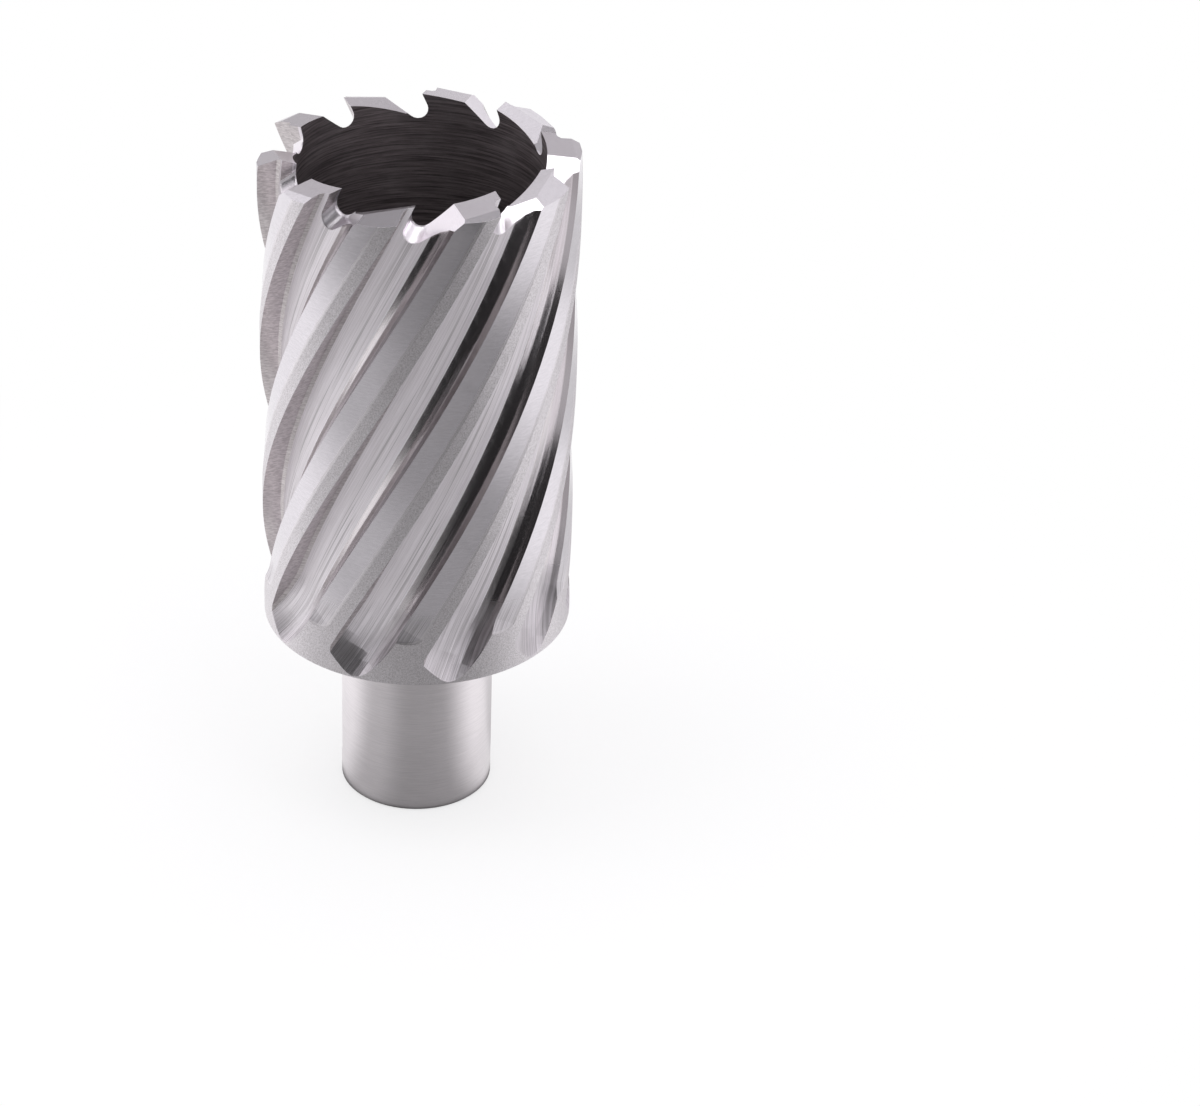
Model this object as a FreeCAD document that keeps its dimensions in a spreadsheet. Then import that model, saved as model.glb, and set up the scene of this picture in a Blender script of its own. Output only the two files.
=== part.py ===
import FreeCAD, Part
import os
import Sketcher

# Annular cutter: a hollow hole cutter of 38.1 mm cutting diameter on a 19.05 mm shank with two drive flats.
# One solid of high speed steel. +Z points from the shank to the teeth, the origin is the centre of the
# shank's end face. Azimuths run anticlockwise from +X as seen from above.

os.makedirs("parts", exist_ok=True)
doc = FreeCAD.newDocument("annular_cutter")
sheet = doc.addObject("Spreadsheet::Sheet", "sizes")

# Sizes
sizes = [
    ("shank_radius", "9.525", "shank, 3/4 inch across"),
    ("shank_length", "25", "shank up to the underside of the collar"),
    ("shank_chamfer", "0.25", "edge break at the shank's end"),
    ("shank_lead_in", "0.01", "the shank is this much slimmer below the drive flats"),
    ("pilot_radius", "3.25", "hole for a 6.35 mm pilot pin"),
    ("pilot_chamfer", "0.4", "edge break of the pilot hole"),
    ("flat_azimuth", "77", "direction that the first drive flat faces"),
    ("flat_spacing", "90", "angle between the two drive flats"),
    ("flat_depth", "0.65", "depth of the drive flats"),
    ("flat_start", "2.7", "height where a drive flat begins"),
    ("flat_runout", "1", "length of the sloped start of a flat"),
    ("flat_width", "14", "width of the milling cut of a flat, wider than the flat"),
    ("body_radius", "19.05", "cutting radius, 1 1/2 inch across"),
    ("collar_chamfer", "0.15", "edge break of the collar"),
    ("blank_top", "88.2", "top of the blank before the teeth are ground"),
    ("bore_radius", "14.8", "inside of the tube, clears the slug"),
    ("bore_floor", "33.4", "height of the floor inside the tube"),
    ("tooth_count", "10", "teeth round the rim"),
    ("tooth_azimuth", "-91.771", "azimuth of the front tooth's inner corner"),
    ("tip_height", "87.45", "height of the teeth from which the gashes are measured"),
    ("lead", "212", "height of one full turn of the flutes"),
    ("twist_height", "86.89", "height where a flute stands at its tooth's azimuth"),
    ("helix_angle", "=atan(2 * pi * body_radius / lead) / 1 deg", "slope of the flutes from the axis"),
    ("turn_rate", "=360 / lead", "degrees of twist per millimetre of height"),
    # section of a flute, seen square to its helix: u along the skin, v outward
    ("flute_floor", "16.5", "radius of the flute's floor"),
    ("flute_lead_foot", "-1.27", "u of the leading wall's foot"),
    ("flute_lead_lean", "-0.06", "sideways lean of the leading wall for each millimetre outward"),
    ("flute_root", "0.35", "fillet between the leading wall and the floor"),
    ("flute_floor_end", "2.07", "u where the floor turns into the trailing wall"),
    ("flute_sweep", "2.8", "radius of the concave trailing wall"),
    ("flute_wall_angle", "66", "steepest slope of the trailing wall"),
    ("cut_over", "5", "height of the cutting section over the floor"),
    ("flute_lead_top", "=flute_lead_foot + flute_lead_lean * cut_over", "u of the section's top corner"),
    ("flute_wall_u", "=flute_floor_end + flute_sweep * sin(flute_wall_angle * 0.75 deg)", "start of the heel"),
    ("flute_wall_v", "=flute_floor + flute_sweep * (1 - cos(flute_wall_angle * 0.75 deg))", "start of the heel"),
    ("flute_trail_top", "=flute_wall_u + (flute_floor + cut_over - flute_wall_v)"
                        " / tan(flute_wall_angle * 0.875 deg)", "u of the section's other top corner"),
    ("flute_top", "91", "height where the flutes enter"),
    ("flute_lift_start", "34.4", "height where the grinding wheel begins to leave the work"),
    ("wheel_radius", "18", "radius of the arc by which the flutes run out"),
    # relieved land behind the margin, same section
    ("land_heel_u", "-5.6", "u of the land's heel"),
    ("land_heel_v", "17.95", "radius of the land's heel"),
    ("land_margin_u", "-2.895", "u of the margin's back edge"),
    ("land_margin_v", "18.88", "height of the margin's back edge in the section"),
    ("land_past_heel", "1.3", "overrun of the relief past the heel"),
    ("land_past_margin", "1.2", "overrun of the relief past the margin"),
    ("land_slope", "=(land_margin_v - land_heel_v) / (land_margin_u - land_heel_u)", "slope of the land"),
    ("land_end", "30", "section height where the relief begins to run out"),
    ("land_wheel", "12", "radius of the arc by which the relief runs out"),
    # gash in front of every tooth, drawn on the plane that touches the bore at the tooth's corner
    ("gash_fall", "0.86", "fall of the gash for each millimetre outward"),
    ("gash_skew", "0.58", "backward skew of the gash for each millimetre outward"),
    ("gash_hook_x", "0.78", "centre of the hook ahead of the tooth's azimuth"),
    ("gash_hook_z", "1.75", "centre of the hook below the tip height"),
    ("gash_radius", "1.25", "radius of the hook"),
    ("gash_lean", "0.45", "forward lean of the cutting face for each millimetre of height"),
    ("gash_slope", "36", "slope of the gash up to the next tooth"),
    ("gash_over", "5", "overrun of the gash above the corner"),
    ("gash_start", "11", "distance from the axis where the gash begins"),
    ("gash_hook_end", "17.2", "distance from the axis where the hook ends"),
    ("gash_slope_end", "21", "distance from the axis where the slope ends"),
    ("gash_slope_left", "1.2", "left side of the cut that carries the slope outward"),
    ("gash_first", "=90 + atan(1 / gash_lean) / 1 deg", "direction where the hook begins"),
    ("gash_last", "=270 + gash_slope", "direction where the hook turns into the slope"),
    ("gash_face_x", "=gash_hook_x + gash_radius * cos(gash_first * 1 deg) + gash_lean"
                    " * (gash_over + gash_hook_z - gash_radius * sin(gash_first * 1 deg))", "top of the face"),
    ("gash_turn_x", "=gash_hook_x + gash_radius * sin(gash_slope * 1 deg)", "end of the hook"),
    ("gash_turn_z", "=-gash_hook_z - gash_radius * cos(gash_slope * 1 deg)", "end of the hook"),
    ("gash_far_x", "=gash_turn_x + (gash_over - gash_turn_z) / tan(gash_slope * 1 deg)", "far corner"),
    # tops of the teeth, drawn on a radial plane in the middle of a tooth
    ("top_half_angle", "10", "angle from a tooth's corner back to its middle"),
    ("top_corner_y", "2.57", "distance of the corner from the middle of the tooth"),
    ("top_corner_x", "14.57", "distance of the corner from the axis on the plane of the middle"),
    ("top_plane_y", "3.8", "where the cuts over a tooth begin"),
    ("top_length", "8.3", "length of the cuts over a tooth"),
    ("top_inner_x", "12", "inner side of the cuts over a tooth"),
    ("top_outer_x", "20.8", "outer side of the cuts over a tooth"),
    ("top_over", "91", "upper side of the cuts over a tooth"),
    ("flat_corner", "87.57", "height of a flat tooth's inner corner"),
    ("flat_top_fall", "0.118", "outward fall of a flat tooth's top"),
    ("flat_top_relief", "0.119", "backward fall of a flat tooth's top"),
    ("flat_bevel_x", "18.03", "where a flat tooth's bevel begins"),
    ("flat_bevel_fall", "0.48", "outward fall of a flat tooth's bevel"),
    ("roof_corner", "87", "height of a roofed tooth's inner corner"),
    ("roof_inner_rise", "0.3", "outward rise of a roofed tooth's inner facet"),
    ("roof_inner_relief", "0.257", "backward fall of a roofed tooth's inner facet"),
    ("roof_ridge_x", "16.24", "where the two facets of a roofed tooth meet"),
    ("roof_outer_fall", "0.364", "outward fall of a roofed tooth's outer facet"),
    ("roof_outer_relief", "0.173", "backward fall of a roofed tooth's outer facet"),
]
for row, (alias, value, note) in enumerate(sizes, start=1):
    sheet.set("A%d" % row, alias)
    sheet.set("B%d" % row, value)
    sheet.set("C%d" % row, note)
    sheet.setAlias("B%d" % row, alias)
doc.recompute()


# Helpers
def named(text):
    """Put the sheet's name before every size that an expression uses."""
    words = sorted((alias for alias, value, note in sizes), key=len, reverse=True)
    out = ""
    at = 0
    while at < len(text):
        match = next((w for w in words if text.startswith(w, at)), None)
        if match and (at == 0 or not (text[at - 1].isalnum() or text[at - 1] == "_")):
            out += "sizes." + match
            at += len(match)
        else:
            out += text[at]
            at += 1
    return out


def place(x, y, z, *turns):
    """Placement expression: a point and a chain of turns, each an axis and an angle."""
    chain = " * ".join("create(<<rotation>>; create(<<vector>>; %s); %s)" % turn for turn in turns)
    return named("create(<<placement>>; create(<<vector>>; %s; %s; %s); %s)" % (x, y, z, chain))


body = doc.addObject("PartDesign::Body", "annular_cutter")
body.Label = "annular_cutter"
origin = {feature.Role: feature for feature in body.Origin.OriginFeatures}


def sketch(name, plane, where=None):
    """Empty sketch on one of the body's base planes, moved by a placement expression."""
    made = body.newObject("Sketcher::SketchObject", name)
    made.AttachmentSupport = [(origin[plane], "")]
    made.MapMode = "FlatFace"
    if where:
        made.setExpression("AttachmentOffset", where)
    return made


def outline(made, points):
    """Closed outline of straight sides through points given as expressions."""
    values = [(float(probe(x)), float(probe(y))) for x, y in points]
    count = len(points)
    for side in range(count):
        x0, y0 = values[side]
        x1, y1 = values[(side + 1) % count]
        made.addGeometry(Part.LineSegment(FreeCAD.Vector(x0, y0, 0), FreeCAD.Vector(x1, y1, 0)))
    for side in range(count):
        made.addConstraint(Sketcher.Constraint("Coincident", side, 2, (side + 1) % count, 1))
    for side, (x, y) in enumerate(points):
        for kind, value, text in (("DistanceX", values[side][0], x), ("DistanceY", values[side][1], y)):
            rule = made.addConstraint(Sketcher.Constraint(kind, -1, 1, side, 1, value))
            made.setExpression("Constraints[%d]" % rule, named(text))


def probe(text):
    """Value of an expression in the sheet's sizes."""
    return body.evalExpression(named(text))


def pattern(name, features, count, angle="360"):
    """Turn features round the axis."""
    turned = body.newObject("PartDesign::PolarPattern", name)
    turned.Originals = features
    turned.Axis = (origin["Z_Axis"], [""])
    turned.setExpression("Angle", named(angle))
    turned.setExpression("Occurrences", named(count))
    body.Tip = turned
    return turned


def cut(name, profile, direction, reach):
    """Straight cut along a direction, its length measured square to the sketch."""
    pocket = body.newObject("PartDesign::Pocket", name)
    pocket.Profile = profile
    pocket.UseCustomVector = True
    pocket.AlongSketchNormal = True
    pocket.setExpression("Direction", named("create(<<vector>>; %s; %s; %s)" % direction))
    pocket.setExpression("Length", named(reach))
    return pocket


# Turned blank: shank, collar and tube with the pilot hole through the shank
turning = sketch("blank_section", "XZ_Plane")
outline(turning, [
    ("pilot_radius + pilot_chamfer", "0"),
    ("shank_radius - shank_lead_in - shank_chamfer", "0"),
    ("shank_radius - shank_lead_in", "shank_chamfer"),
    ("shank_radius - shank_lead_in", "flat_start + flat_runout"),
    ("shank_radius", "flat_start + flat_runout"),
    ("shank_radius", "shank_length"),
    ("body_radius - collar_chamfer", "shank_length"),
    ("body_radius", "shank_length + collar_chamfer"),
    ("body_radius", "blank_top"),
    ("bore_radius", "blank_top"),
    ("bore_radius", "bore_floor"),
    ("pilot_radius", "bore_floor"),
    ("pilot_radius", "pilot_chamfer"),
])
blank = body.newObject("PartDesign::Revolution", "blank")
blank.Profile = turning
blank.ReferenceAxis = (origin["Z_Axis"], [""])
blank.Angle = 360
doc.recompute()

# Two drive flats, a quarter turn apart, with a sloped start near the shank's end
flat_side = sketch("flat_side", "XY_Plane", place(
    "0", "0", "0", ("0; 0; 1", "flat_azimuth"), ("1; 0; 0", "90")))
outline(flat_side, [
    ("shank_radius - flat_depth", "flat_start + flat_runout"),
    ("shank_radius + 1", "flat_start - flat_runout / flat_depth"),
    ("shank_radius + 1", "shank_length"),
    ("shank_radius - flat_depth", "shank_length"),
])
flat = body.newObject("PartDesign::Pocket", "drive_flat")
flat.Profile = flat_side
flat.SideType = "Symmetric"
flat.setExpression("Length", named("flat_width"))
pattern("drive_flats", [flat], "2", "flat_spacing")
doc.recompute()


# Flutes: one section square to the helix, swept along it and turned out at the collar
def helix_place(height):
    """Where a section stands: on the helix, square to it."""
    return place("0", "0", height,
                 ("0; 0; 1", "tooth_azimuth + (%s - twist_height) * turn_rate" % height),
                 ("1; 0; 0", "-helix_angle"),
                 ("1; 1; 0", "180"))


def sweep(name, section, path):
    """Cut along the helix with a section that keeps its slope to the axis."""
    made = body.newObject("PartDesign::SubtractivePipe", name)
    made.Profile = section
    made.Spine = (path, ["Edge1"])
    made.Mode = "Frenet"
    return made


def path_up(name, start, top):
    """Helix on the flute's floor from one height to another."""
    path = doc.addObject("Part::Helix", name)
    path.LocalCoord = "Right-handed"
    path.setExpression("Pitch", named("lead"))
    path.setExpression("Radius", named("flute_floor"))
    path.setExpression("Height", named("%s - %s" % (top, start)))
    path.setExpression("Placement", place(
        "0", "0", start, ("0; 0; 1", "tooth_azimuth + (%s - twist_height) * turn_rate" % start)))
    return path


def run_out(name, section):
    """Turn a section about the axis of its grinding wheel, so that the cut leaves the skin in an arc."""
    made = body.newObject("PartDesign::Groove", name)
    made.Profile = section
    made.ReferenceAxis = (section, ["Axis0"])
    made.Angle = 60
    made.Reversed = True
    return made


def wheel_axis(section, height):
    """Construction line across a section, the axis of the grinding wheel."""
    value = float(probe(height))
    index = section.addGeometry(Part.LineSegment(
        FreeCAD.Vector(-5, value, 0), FreeCAD.Vector(5, value, 0)), True)
    for end, reach in ((1, -5), (2, 5)):
        section.addConstraint(Sketcher.Constraint("DistanceX", -1, 1, index, end, reach))
        rule = section.addConstraint(Sketcher.Constraint("DistanceY", -1, 1, index, end, value))
        section.setExpression("Constraints[%d]" % rule, named(height))


flute_side = sketch("flute_section", "XY_Plane", helix_place("flute_lift_start"))
trailing_wall = []
for share in (0.25, 0.5, 0.75):
    bend = "(flute_wall_angle * %s * 1 deg)" % share
    trailing_wall.append(("flute_floor_end + flute_sweep * sin(%s)" % bend,
                          "flute_floor + flute_sweep * (1 - cos(%s))" % bend))
outline(flute_side, [
    ("flute_lead_top", "flute_floor + cut_over"),
    ("flute_lead_foot + flute_lead_lean * flute_root", "flute_floor + flute_root"),
    ("flute_lead_foot + flute_root", "flute_floor"),
    ("flute_floor_end", "flute_floor"),
] + trailing_wall + [
    ("flute_trail_top", "flute_floor + cut_over"),
])
wheel_axis(flute_side, "flute_floor + wheel_radius")
flute = sweep("flute", flute_side, path_up("flute_path", "flute_lift_start", "flute_top"))
flute_end = run_out("flute_end", flute_side)
doc.recompute()

# Relief of the lands between margin and heel, run out above the collar
land_side = sketch("land_section", "XY_Plane", helix_place("land_end"))
outline(land_side, [
    ("land_heel_u - land_past_heel", "land_heel_v - land_past_heel * land_slope"),
    ("land_margin_u + land_past_margin", "land_margin_v + land_past_margin * land_slope"),
    ("land_margin_u + land_past_margin", "flute_floor + cut_over"),
    ("land_heel_u - land_past_heel", "flute_floor + cut_over"),
])
wheel_axis(land_side, "land_heel_v + land_wheel")
land = sweep("land_relief", land_side, path_up("land_path", "land_end", "flute_top"))
land_stop = run_out("land_stop", land_side)
doc.recompute()
pattern("flutes_and_lands", [flute, flute_end, land, land_stop], "tooth_count")
doc.recompute()

# Gashes in front of the teeth: a hook at the bore and a slope up to the next tooth
gash_direction = (
    "cos(tooth_azimuth * 1 deg) + gash_skew * sin(tooth_azimuth * 1 deg)",
    "sin(tooth_azimuth * 1 deg) - gash_skew * cos(tooth_azimuth * 1 deg)",
    "-gash_fall",
)
back = "(bore_radius - gash_start)"
gash_where = place(
    "gash_start * cos(tooth_azimuth * 1 deg) - gash_skew * %s * sin(tooth_azimuth * 1 deg)" % back,
    "gash_start * sin(tooth_azimuth * 1 deg) + gash_skew * %s * cos(tooth_azimuth * 1 deg)" % back,
    "tip_height + gash_fall * %s" % back,
    ("0; 0; 1", "tooth_azimuth"), ("1; 1; 1", "120"))
hook_side = sketch("gash_hook_side", "XY_Plane", gash_where)
hook_side_points = []
for step in range(9):
    bearing = "((gash_first + (gash_last - gash_first) * %d / 8) * 1 deg)" % step
    hook_side_points.append(("gash_hook_x + gash_radius * cos(%s)" % bearing,
                             "gash_radius * sin(%s) - gash_hook_z" % bearing))
outline(hook_side, [("gash_face_x", "gash_over")] + hook_side_points + [("gash_far_x", "gash_over")])
hook = cut("gash_hook", hook_side, gash_direction, "gash_hook_end - gash_start")
slope_side = sketch("gash_slope_side", "XY_Plane", gash_where)
outline(slope_side, [
    ("gash_slope_left", "gash_over"),
    ("gash_slope_left", "gash_turn_z"),
    ("gash_turn_x", "gash_turn_z"),
    ("gash_far_x", "gash_over"),
])
slope_cut = cut("gash_slope_cut", slope_side, gash_direction, "gash_slope_end - gash_start")
doc.recompute()
pattern("gashes", [hook, slope_cut], "tooth_count")
doc.recompute()


# Tops of the teeth: every other tooth is flat with an outer bevel, those between have a roof
def top_cut(name, turn, relief, points):
    """Grind a facet over one tooth from its face backward."""
    middle = "(tooth_azimuth - top_half_angle + %s)" % turn
    where = place(
        "-top_plane_y * sin(%s * 1 deg)" % middle,
        "top_plane_y * cos(%s * 1 deg)" % middle,
        "%s * (top_plane_y - top_corner_y)" % relief,
        ("0; 0; 1", middle), ("1; 0; 0", "90"))
    direction = ("sin(%s * 1 deg)" % middle, "-cos(%s * 1 deg)" % middle, "-" + relief)
    profile = sketch(name + "_side", "XY_Plane", where)
    outline(profile, points)
    made = cut(name, profile, direction, "top_length")
    doc.recompute()
    return pattern(name + "s", [made], "tooth_count / 2")


bevel_z = "flat_corner - flat_top_fall * (flat_bevel_x - top_corner_x)"
top_cut("flat_top", "360 / tooth_count", "flat_top_relief", [
    ("top_inner_x", "flat_corner + flat_top_fall * (top_corner_x - top_inner_x)"),
    ("flat_bevel_x", bevel_z),
    ("top_outer_x", bevel_z + " - flat_bevel_fall * (top_outer_x - flat_bevel_x)"),
    ("top_outer_x", "top_over"),
    ("top_inner_x", "top_over"),
])
ridge_z = "(roof_corner + roof_inner_rise * (roof_ridge_x - top_corner_x))"
top_cut("roof_outer", "0", "roof_outer_relief", [
    ("top_inner_x", ridge_z + " + roof_outer_fall * (roof_ridge_x - top_inner_x)"),
    ("top_outer_x", ridge_z + " - roof_outer_fall * (top_outer_x - roof_ridge_x)"),
    ("top_outer_x", "top_over"),
    ("top_inner_x", "top_over"),
])
top_cut("roof_inner", "0", "roof_inner_relief", [
    ("top_inner_x", ridge_z + " - roof_inner_rise * (roof_ridge_x - top_inner_x)"),
    ("top_outer_x", ridge_z + " + roof_inner_rise * (top_outer_x - roof_ridge_x)"),
    ("top_outer_x", "top_over"),
    ("top_inner_x", "top_over"),
])
doc.recompute()

# Write the part
for item in doc.Objects:
    if "Invalid" in item.State or "Error" in item.State:
        raise RuntimeError(item.Name + " could not be built")
if body.Shape.isNull() or not body.Shape.isValid() or len(body.Shape.Solids) != 1:
    raise RuntimeError("the cutter is not one valid solid")
body.Shape.exportStep("parts/annular_cutter.step")
print("volume", round(body.Shape.Volume, 1), "box", body.Shape.BoundBox)
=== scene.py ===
import math
import bpy
from mathutils import Matrix, Vector

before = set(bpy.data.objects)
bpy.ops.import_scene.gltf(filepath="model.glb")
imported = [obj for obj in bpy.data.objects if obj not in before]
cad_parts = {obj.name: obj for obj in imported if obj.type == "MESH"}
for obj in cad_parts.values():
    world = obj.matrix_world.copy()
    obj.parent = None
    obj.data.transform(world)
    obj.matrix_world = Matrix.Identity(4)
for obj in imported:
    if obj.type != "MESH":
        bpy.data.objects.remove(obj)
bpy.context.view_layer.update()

scene = bpy.context.scene
scene.view_settings.view_transform = "Standard"
MM = 0.001
WHITE = (1, 1, 1, 1)

# Sizes of the cutter that the look follows, in millimetres and degrees
LEAD = 212.0            # rise of the flutes in one turn
TOOTH_AZ = -91.771      # azimuth of the front tooth's inner corner
TWIST_Z = 86.89         # height where that tooth's flute stands at the same azimuth
PITCH = 36.0            # from tooth to tooth
# the next three count in degrees from the inner corner, followed along the helix
FIRST = -4.9            # outer edge of the leading wall, where a pitch begins
FLUTE_END = 16.0        # heel, where the flute ends
LAND = (16.1, 26.2)     # relieved land, from the heel to the margin
BODY_R = 19.05
HEEL_R = 17.95
BORE_R = 14.8
OUTSIDE_R = 15.2        # what lies further out counts as the outside
SHANK_TOP = 25.0
BORE_FLOOR = 33.4
RUN_OUT_Z = 34.4        # below it the flutes run out
GASH_Z = 82.3           # below the lowest point of the gashes

# Sizes of the stage, in metres and degrees
FLOOR_R = 1.5
FLOOR_Z = -0.00002      # a hair under the shank's end
FLOOR_LIT = 0.88        # about what the lamps and the world give the floor
CARD_DISTANCE = 1.0
CARD_Z = 0.05           # height round which the cards stand
CARD_STEP = 6           # degrees from one corner of a card to the next
LAMP_DISTANCE = 0.6
LAMP_HEIGHT = 0.4
LAMP_AIM = Vector((0, 0, 0.055))


# Node helpers
class Graph:
    """Short names for the nodes of one material."""

    def __init__(self, name):
        self.material = bpy.data.materials.new(name)
        self.material.use_nodes = True
        self.tree = self.material.node_tree
        self.tree.nodes.clear()
        self.output = self.tree.nodes.new("ShaderNodeOutputMaterial")

    def node(self, kind, **values):
        made = self.tree.nodes.new(kind)
        for key, value in values.items():
            setattr(made, key, value)
        return made

    def link(self, source, socket):
        """Put a number or a tuple on a socket, or link another socket to it."""
        if isinstance(source, (int, float, tuple)):
            socket.default_value = source
        else:
            self.tree.links.new(source, socket)

    def math(self, operation, a, b=0.0, c=0.0):
        made = self.node("ShaderNodeMath", operation=operation)
        for value, socket in zip((a, b, c), made.inputs):
            self.link(value, socket)
        return made.outputs[0]

    def add(self, a, b):
        return self.math("ADD", a, b)

    def sub(self, a, b):
        return self.math("SUBTRACT", a, b)

    def mul(self, a, b):
        return self.math("MULTIPLY", a, b)

    def all_of(self, first_mask, *masks):
        """Product of masks."""
        for mask in masks:
            first_mask = self.mul(first_mask, mask)
        return first_mask

    def any_of(self, first_mask, *masks):
        """Largest of masks."""
        for mask in masks:
            first_mask = self.math("MAXIMUM", first_mask, mask)
        return first_mask

    def length(self, x, y):
        return self.math("SQRT", self.add(self.mul(x, x), self.mul(y, y)))

    def split(self, vector):
        made = self.node("ShaderNodeSeparateXYZ")
        self.link(vector, made.inputs[0])
        return made.outputs

    def ramp(self, value, low, high, to_low=0.0, to_high=1.0):
        """Smooth step of a value from one range to another."""
        made = self.node("ShaderNodeMapRange", interpolation_type="SMOOTHSTEP")
        self.link(value, made.inputs["Value"])
        self.link(low, made.inputs["From Min"])
        self.link(high, made.inputs["From Max"])
        self.link(to_low, made.inputs["To Min"])
        self.link(to_high, made.inputs["To Max"])
        return made.outputs["Result"]

    def band(self, value, low, high, soft):
        """1 between two values, 0 outside."""
        return self.mul(self.ramp(value, low - soft, low + soft),
                        self.ramp(value, high - soft, high + soft, 1.0, 0.0))

    def mix(self, factor, a, b):
        made = self.node("ShaderNodeMix", data_type="FLOAT")
        self.link(factor, made.inputs[0])
        self.link(a, made.inputs[2])
        self.link(b, made.inputs[3])
        return made.outputs[0]

    def mix_colour(self, factor, a, b):
        made = self.node("ShaderNodeMix", data_type="RGBA")
        self.link(factor, made.inputs[0])
        self.link(a, made.inputs[6])
        self.link(b, made.inputs[7])
        return made.outputs[2]

    def mix_vector(self, factor, a, b):
        made = self.node("ShaderNodeMix", data_type="VECTOR")
        self.link(factor, made.inputs[0])
        self.link(a, made.inputs[4])
        self.link(b, made.inputs[5])
        return made.outputs[1]

    def tone(self, noise, low, high, dark, light):
        """Colour that a noise moves between a dark and a light one."""
        return self.mix_colour(self.ramp(noise, low, high), dark, light)

    def vector(self, x, y, z):
        made = self.node("ShaderNodeCombineXYZ")
        for value, socket in zip((x, y, z), made.inputs):
            self.link(value, socket)
        return made.outputs[0]

    def noise(self, vector, scale, detail, rough):
        made = self.node("ShaderNodeTexNoise")
        self.link(vector, made.inputs["Vector"])
        made.inputs["Scale"].default_value = scale
        made.inputs["Detail"].default_value = detail
        made.inputs["Roughness"].default_value = rough
        return made.outputs["Fac"]

    def glow(self, colour, strength):
        made = self.node("ShaderNodeEmission")
        made.inputs["Color"].default_value = colour
        self.link(strength, made.inputs["Strength"])
        return made.outputs[0]

    def mix_shader(self, factor, a, b):
        """Mix of two shaders, where None is black."""
        made = self.node("ShaderNodeMixShader")
        self.link(factor, made.inputs[0])
        if a is not None:
            self.link(a, made.inputs[1])
        self.link(b, made.inputs[2])
        return made.outputs[0]


def grey(value, warm=0.0):
    """Steel grey, a little less green than red and blue, as in the photo."""
    return (value * (1 + warm), value * 0.955, value * (1 - warm), 1.0)


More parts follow.
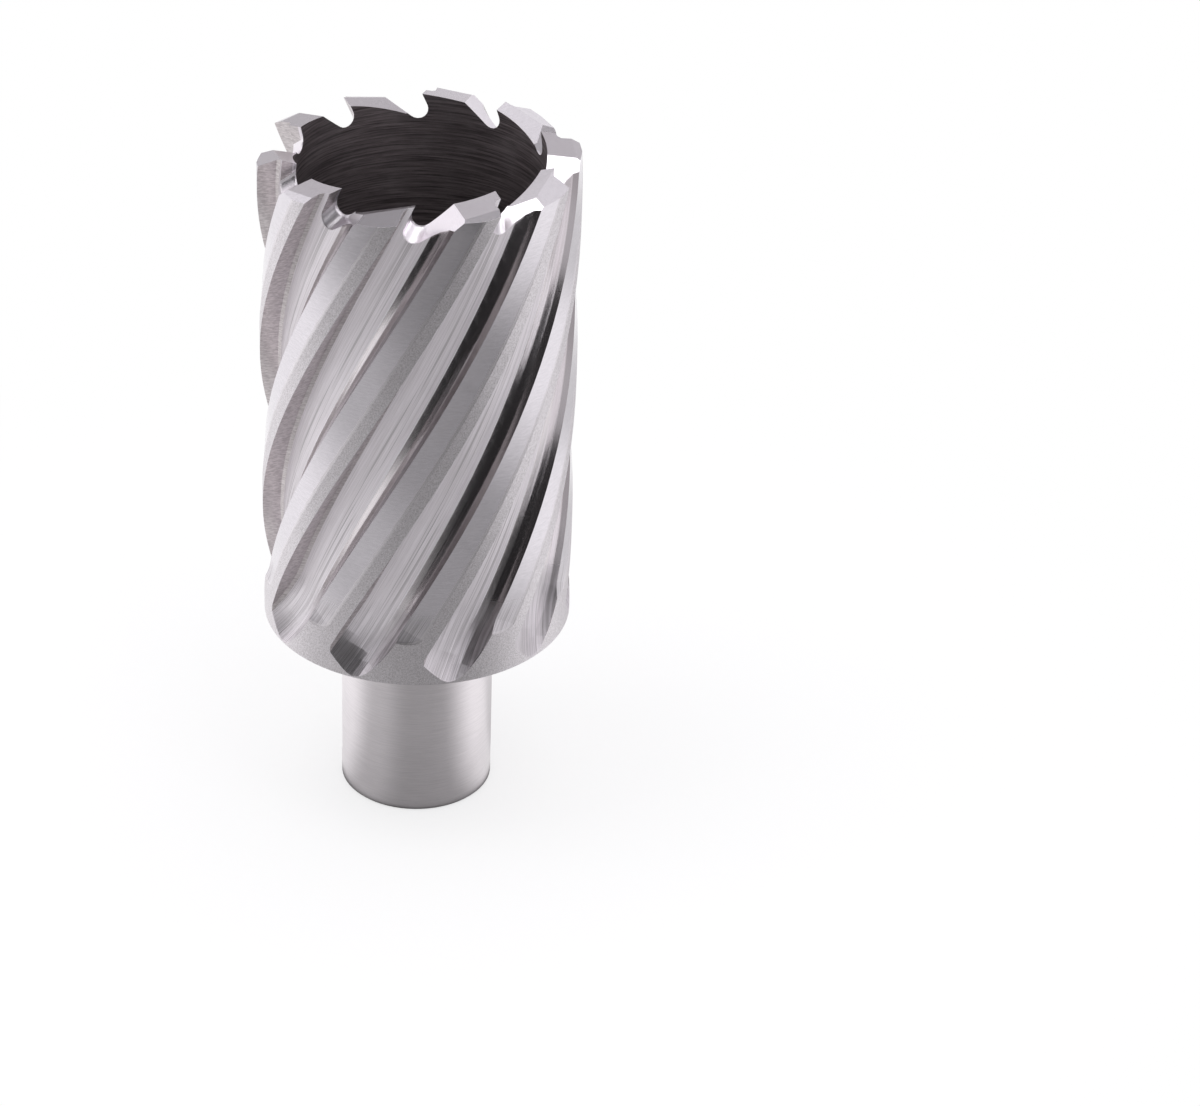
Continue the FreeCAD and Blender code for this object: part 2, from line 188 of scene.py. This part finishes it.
def steel():
    """Ground steel: each ground face has its own grain, found from its place on the cutter."""
    g = Graph("ground_steel")
    x, y, z = (g.mul(part, 1 / MM) for part in g.split(g.node("ShaderNodeTexCoord").outputs["Object"]))
    r = g.length(x, y)
    azimuth = g.mul(g.math("ARCTAN2", y, x), 180 / math.pi)
    # degrees from the tooth's inner corner, followed along the helix
    twist = g.sub(azimuth, g.mul(g.sub(z, TWIST_Z), 360 / LEAD))
    offset = g.math("WRAP", g.sub(twist, TOOTH_AZ), FIRST + PITCH, FIRST)
    # the way a face looks: away from the axis, round it, up or down
    nx, ny, nz = g.split(g.node("ShaderNodeNewGeometry").outputs["True Normal"])
    safe_r = g.math("MAXIMUM", r, 0.1)
    outward = g.math("DIVIDE", g.add(g.mul(x, nx), g.mul(y, ny)), safe_r)
    around = g.math("DIVIDE", g.sub(g.mul(x, ny), g.mul(y, nx)), safe_r)
    level = g.math("ABSOLUTE", nz)
    # how far a face turns off the helix: 0 on all that the flute's wheel ground
    rise = LEAD / (2 * math.pi)
    slip = g.math("DIVIDE", g.add(g.mul(around, r), g.mul(nz, rise)),
                  g.math("SQRT", g.add(g.mul(r, r), rise * rise)))

    # where on the cutter a point lies
    outer = g.ramp(r, OUTSIDE_R, OUTSIDE_R + 0.1)
    skin = g.mul(g.ramp(r, BODY_R - 0.05, BODY_R - 0.02), g.ramp(outward, 0.9, 0.95))
    inside = g.mul(g.ramp(r, BORE_R + 0.03, BORE_R + 0.01), g.ramp(z, BORE_FLOOR - 0.4, BORE_FLOOR - 0.1))
    shank = g.sub(1.0, g.ramp(z, SHANK_TOP - 0.1, SHANK_TOP))
    top = g.mul(g.ramp(z, 83.0, 84.0), g.ramp(level, 0.81, 0.83))
    gash = g.all_of(g.ramp(z, GASH_Z, GASH_Z + 0.2), g.ramp(level, 0.83, 0.81), g.ramp(slip, 0.20, 0.30))
    hook = g.all_of(gash, g.ramp(around, -0.35, -0.25), g.ramp(slip, 0.45, 0.55))
    land = g.all_of(g.band(offset, *LAND, 0.05), g.ramp(r, BODY_R - 0.06, BODY_R - 0.10),
                    g.ramp(r, HEEL_R - 0.25, HEEL_R - 0.15), g.ramp(outward, 0.84, 0.88))
    lead_wall = g.mul(g.ramp(around, 0.5, 0.6), outer)
    trail_wall = g.all_of(g.ramp(around, -0.3, -0.5), outer, g.ramp(level, 0.62, 0.55))
    # painted shade: the trailing wall's outer strip at the heel is darkened in its colour, for a hollow
    # that the straight strips don't shade
    heel_painted_shade = g.mul(trail_wall, g.ramp(r, HEEL_R - 0.15, HEEL_R + 0.05))
    run_out = g.all_of(g.ramp(z, RUN_OUT_Z + 1.6, RUN_OUT_Z - 1.4),
                       g.ramp(r, BODY_R - 0.07, BODY_R - 0.11), outer)
    # the strip of the flute's floor with the plainest lines, and the whole flute up to its heel
    floor_lines = g.band(offset, 2.5, 8.5, 1.2)
    in_flute = g.mul(g.ramp(offset, FLUTE_END, FLUTE_END - 0.1),
                     g.ramp(g.math("ABSOLUTE", slip), 0.4, 0.3))
    smooth = g.any_of(skin, land, shank, trail_wall, top, gash, lead_wall)
    scored = g.all_of(outer, in_flute, g.sub(1.0, smooth))

    # grain: fine lines along the flutes, round the axis on the shank, the bore and the lead walls,
    # out from the axis on the tops and in the gashes, and specks on the skin
    along = g.vector(g.mul(offset, 0.33), g.all_of(r, 0.6, lead_wall), g.mul(z, 0.012))
    lines = g.noise(along, 7.0, 4.0, 0.7)
    stripes = g.noise(along, 2.6, 2.0, 0.5)
    turned = g.noise(g.vector(g.mul(azimuth, 0.004), r, z), 12.0, 4.0, 0.7)
    across = g.noise(g.vector(g.mul(azimuth, 0.06), g.mul(r, 0.3), z), 5.0, 4.0, 0.65)
    bore_lines = g.noise(g.vector(g.mul(azimuth, 0.008), 0.0, z), 3.2, 5.0, 0.75)
    speck = g.noise(g.vector(x, y, z), 6.0, 5.0, 0.7)
    patch = g.noise(g.vector(x, y, z), 0.22, 3.0, 0.5)
    radial = g.noise(g.vector(g.mul(azimuth, 0.9), g.mul(r, 0.25), 0.0), 5.0, 3.0, 0.6)

    # colour, each layer over those before it
    base = g.tone(lines, 0.3, 0.7, grey(0.70, 0.01), grey(0.97))
    for mask, colour in (
            (g.mul(floor_lines, g.ramp(stripes, 0.53, 0.60)), grey(0.56, 0.01)),
            (skin, g.tone(speck, 0.3, 0.7, grey(0.58, 0.01), grey(0.94))),
            (land, g.tone(across, 0.3, 0.7, (0.75, 0.715, 0.76, 1.0), (0.82, 0.78, 0.83, 1.0))),
            (trail_wall, g.tone(lines, 0.3, 0.7, grey(0.74, 0.02), grey(0.92, 0.01))),
            # painted shade on the trailing wall at the heel
            (heel_painted_shade, grey(0.42, 0.02)),
            (g.mul(run_out, 0.7), g.tone(lines, 0.35, 0.65, grey(0.50, 0.01), grey(0.95))),
            (lead_wall, g.tone(across, 0.3, 0.7, (0.46, 0.42, 0.43, 1.0), (0.74, 0.69, 0.70, 1.0))),
            (shank, g.tone(turned, 0.2, 0.8, grey(0.78, 0.01), grey(0.94, 0.01))),
            (gash, g.tone(radial, 0.3, 0.7, grey(0.92), grey(1.0))),
            (top, g.tone(radial, 0.3, 0.7, grey(0.76), grey(0.86))),
            (inside, g.tone(bore_lines, 0.3, 0.75, (0.07, 0.058, 0.060, 1.0), (0.36, 0.31, 0.32, 1.0))),
            (g.ramp(patch, 0.45, 0.75, 0.0, 0.10), grey(0.55, 0.02))):
        base = g.mix_colour(mask, base, colour)

    # gloss
    rough = g.mix(lines, 0.34, 0.50)
    for mask, value in (
            (skin, g.mix(speck, 0.34, 0.46)),
            (land, g.mix(across, 0.13, 0.18)),
            (trail_wall, g.mix(lines, 0.12, 0.22)),
            (lead_wall, 0.32),
            (run_out, 0.40),
            (shank, g.mix(turned, 0.26, 0.36)),
            (gash, 0.30),
            (top, 0.24),
            (inside, 0.5)):
        rough = g.mix(mask, rough, value)

    # relief of the grain, in millimetres
    height = g.add(g.mul(lines, 0.010), g.all_of(stripes, floor_lines, 0.02))
    for mask, value in (
            (skin, g.mul(speck, 0.010)),
            (land, g.mul(across, 0.0005)),
            (lead_wall, g.mul(across, 0.006)),
            (shank, g.mul(turned, 0.002)),
            (top, g.mul(radial, 0.004)),
            (inside, g.mul(bore_lines, 0.03))):
        height = g.mix(mask, height, value)

    # the gash's hook and the trailing wall are straight strips in the solid and are shaded round
    wall_below_heel = g.mul(trail_wall, g.ramp(r, HEEL_R - 0.10, HEEL_R + 0.15, 0.9, 0.0))
    rounded = g.any_of(hook, wall_below_heel, 0.06)
    soft = g.node("ShaderNodeBevel", samples=6)
    g.link(g.mul(rounded, 0.45 * MM), soft.inputs["Radius"])
    bump = g.node("ShaderNodeBump")
    bump.inputs["Strength"].default_value = 0.6
    bump.inputs["Distance"].default_value = MM
    g.link(height, bump.inputs["Height"])
    g.link(soft.outputs["Normal"], bump.inputs["Normal"])

    # direction square to the grain's lines: square to the helix on what is ground along it,
    # and up on what is turned and on the lands
    round_about = g.vector(g.mul(y, -1.0), x, g.mul(g.mul(r, r), -2 * math.pi / LEAD))
    upright = g.vector(0.0, 0.0, 1.0)

    # the scored flute floors, the dark bore and, a little, the leading walls scatter the light
    metal = g.mix(lead_wall, 1.0, 0.88)
    metal = g.mix(scored, metal, 0.62)
    metal = g.mix(inside, metal, 0.8)

    shader = g.node("ShaderNodeBsdfPrincipled")
    g.link(base, shader.inputs["Base Color"])
    g.link(metal, shader.inputs["Metallic"])
    g.link(rough, shader.inputs["Roughness"])
    g.link(g.mul(g.sub(1.0, g.any_of(top, gash)), 0.55), shader.inputs["Anisotropic"])
    g.link(g.mix_vector(g.any_of(shank, inside, land), round_about, upright), shader.inputs["Tangent"])
    g.link(bump.outputs["Normal"], shader.inputs["Normal"])
    g.link(shader.outputs["BSDF"], g.output.inputs["Surface"])
    return g.material


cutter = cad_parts["annular_cutter"]
cutter.data.materials.clear()
cutter.data.materials.append(steel())


# Stage: a pale floor that takes the shadow and shows white to the camera, and cards that the steel mirrors.
# Bearings are in degrees: 0 towards the camera, + to its right.
def sheet(name, points, faces, material, only_mirrored=False):
    """Mesh of the stage; one that is only mirrored is unseen and throws no shadow."""
    mesh = bpy.data.meshes.new(name)
    mesh.from_pydata(points, [], faces)
    made = bpy.data.objects.new(name, mesh)
    scene.collection.objects.link(made)
    made.data.materials.append(material)
    if only_mirrored:
        made.visible_camera = False
        made.visible_diffuse = False
        made.visible_shadow = False


def pale_floor():
    """White to the camera outside the shadow; the steel mirrors it dimmer in front of the cutter."""
    g = Graph("floor_white")
    x, y = g.split(g.node("ShaderNodeTexCoord").outputs["Object"])[:2]
    away = g.length(x, y)
    bearing = g.mul(g.math("ARCTAN2", x, g.mul(y, -1.0)), 180 / math.pi)
    path = g.node("ShaderNodeLightPath")
    plain = g.node("ShaderNodeBsdfDiffuse")
    plain.inputs["Color"].default_value = (0.86, 0.86, 0.86, 1)
    # to the camera: a share of the real light near the cutter, for its shadow, and white beyond
    share = g.ramp(away, 0.03, 0.12, 0.4, 0.0)
    seen = g.node("ShaderNodeAddShader")
    g.link(g.mix_shader(share, None, plain.outputs[0]), seen.inputs[0])
    g.link(g.glow(WHITE, g.sub(1.0, g.mul(share, FLOOR_LIT))), seen.inputs[1])
    # to the steel: pale at the sides and behind, grey in front as a painted shade, and dark where the shank
    # stands (9.5 mm out) as a painted shadow of the cutter; its left and its right part meet at a bearing
    # of 20 degrees
    left = g.mul(g.ramp(bearing, -100.0, -58.0, 1.0, 0.55), g.ramp(bearing, -50.0, -10.0, 1.0, 0.64))
    right = g.mul(g.ramp(bearing, 32.0, 84.0, 0.36, 1.0),
                  g.sub(1.0, g.mul(0.3, g.band(bearing, 112.0, 148.0, 12.0))))
    sides = g.any_of(g.mul(left, g.ramp(bearing, 20.0, 21.0, 1.0, 0.0)),
                     g.mul(right, g.ramp(bearing, 20.0, 21.0)))
    front = g.sub(1.0, g.all_of(g.ramp(bearing, -85.0, -55.0), g.ramp(bearing, 65.0, 35.0),
                                g.ramp(away, 0.12, 0.55, 0.0, 0.85)))
    # painted shadow of the cutter round the shank, in the floor that the steel mirrors
    foot_painted_shadow = g.mul(g.ramp(away, 0.0096, 0.0106, 0.10, 1.0), g.ramp(away, 0.0096, 0.035, 0.8, 1.0))
    mirrored = g.glow(WHITE, g.all_of(sides, front, foot_painted_shadow))
    direct = g.mix_shader(path.outputs["Is Camera Ray"], plain.outputs[0], seen.outputs[0])
    both = g.mix_shader(path.outputs["Is Glossy Ray"], direct, mirrored)
    g.link(both, g.output.inputs["Surface"])
    return g.material


def card(name, strength, near, far, low, high):
    """Curved card round the cutter between two bearings and two elevations, for the steel to mirror."""
    g = Graph(name)
    g.link(g.glow((strength, strength * 0.97, strength, 1), 1.0), g.output.inputs["Surface"])
    count = max(2, int(abs(far - near) / CARD_STEP))
    points = []
    for step in range(count + 1):
        a = math.radians(near + (far - near) * step / count)
        for e in (math.radians(low), math.radians(high)):
            points.append((math.sin(a) * math.cos(e) * CARD_DISTANCE,
                           -math.cos(a) * math.cos(e) * CARD_DISTANCE,
                           CARD_Z + math.sin(e) * CARD_DISTANCE))
    faces = [(2 * step, 2 * step + 2, 2 * step + 3, 2 * step + 1) for step in range(count)]
    sheet(name, points, faces, g.material, only_mirrored=True)


ring = [(math.cos(a) * FLOOR_R, math.sin(a) * FLOOR_R, FLOOR_Z)
        for a in (math.radians(d) for d in range(0, 360, 6))]
sheet("floor", ring, [tuple(range(len(ring)))], pale_floor())

# name, brightness, first and last bearing, lowest and highest elevation
card("dark_front", 0.02, -62, 30, -3, 19)
card("dark_front_left", 0.04, -84, -62, -3, 12)
card("dark_upper_left", 0.06, -80, 2, 19, 56)
card("pale_right_front", 0.75, 30, 62, 8, 40)
card("grey_right", 0.50, 62, 120, -4, 22)
card("pale_left", 0.95, -135, -88, -4, 40)
card("grey_behind", 0.55, 130, 200, 14, 52)
card("grey_behind_low", 0.50, 178, 200, -4, 14)
card("dark_above_left", 0.16, -166, -132, 43, 62)
card("dark_above_behind", 0.18, 120, 172, 66, 84)
card("dark_right_behind", 0.20, 96, 128, 30, 50)

# World: white to the camera, a little less to all else
world = bpy.data.worlds.new("surroundings")
scene.world = world
world.use_nodes = True
tree = world.node_tree
tree.nodes.clear()
path = tree.nodes.new("ShaderNodeLightPath")
seen = tree.nodes.new("ShaderNodeBackground")
seen.inputs["Color"].default_value = WHITE
seen.inputs["Strength"].default_value = 1.0
room = tree.nodes.new("ShaderNodeBackground")
room.inputs["Color"].default_value = (0.98, 0.97, 1.0, 1)
room.inputs["Strength"].default_value = 0.95
blend = tree.nodes.new("ShaderNodeMixShader")
final = tree.nodes.new("ShaderNodeOutputWorld")
tree.links.new(path.outputs["Is Camera Ray"], blend.inputs[0])
tree.links.new(room.outputs[0], blend.inputs[1])
tree.links.new(seen.outputs[0], blend.inputs[2])
tree.links.new(blend.outputs[0], final.inputs["Surface"])


def lamp(name, bearing, elevation, width, power):
    """Soft rectangular lamp that points at the cutter."""
    a = math.radians(bearing - 90)
    e = math.radians(elevation)
    data = bpy.data.lights.new(name, "AREA")
    data.shape = "RECTANGLE"
    data.size = width
    data.size_y = LAMP_HEIGHT
    data.energy = power
    made = bpy.data.objects.new(name, data)
    scene.collection.objects.link(made)
    away = Vector((math.cos(a) * math.cos(e), math.sin(a) * math.cos(e), math.sin(e)))
    made.location = LAMP_AIM + away * LAMP_DISTANCE
    made.rotation_mode = "QUATERNION"
    made.rotation_quaternion = (LAMP_AIM - made.location).to_track_quat("-Z", "Y")
    made.visible_camera = False


lamp("key_left", -78, 64, 0.25, 0.5)
lamp("fill_right", 38, 66, 0.2, 0.32)

# Camera as in the photo, from the fit to its outlines
eye = Vector((0.0, -0.384198, 0.263146))
yaw, pitch, roll = -0.059, 0.540, 0.037
side = Vector((math.cos(yaw), math.sin(yaw), 0))
ahead = Vector((-math.sin(yaw) * math.cos(pitch), math.cos(yaw) * math.cos(pitch), -math.sin(pitch)))
above = side.cross(ahead)
right = side * math.cos(roll) + above * math.sin(roll)
up = above * math.cos(roll) - side * math.sin(roll)
camera = bpy.data.cameras.new("camera")
camera.sensor_width = 36.0
camera.lens = 108.05
camera.clip_start = 0.01
camera.clip_end = 20
holder = bpy.data.objects.new("camera", camera)
scene.collection.objects.link(holder)
holder.matrix_world = Matrix((right, up, -ahead)).transposed().to_4x4()
holder.location = eye
scene.camera = holder
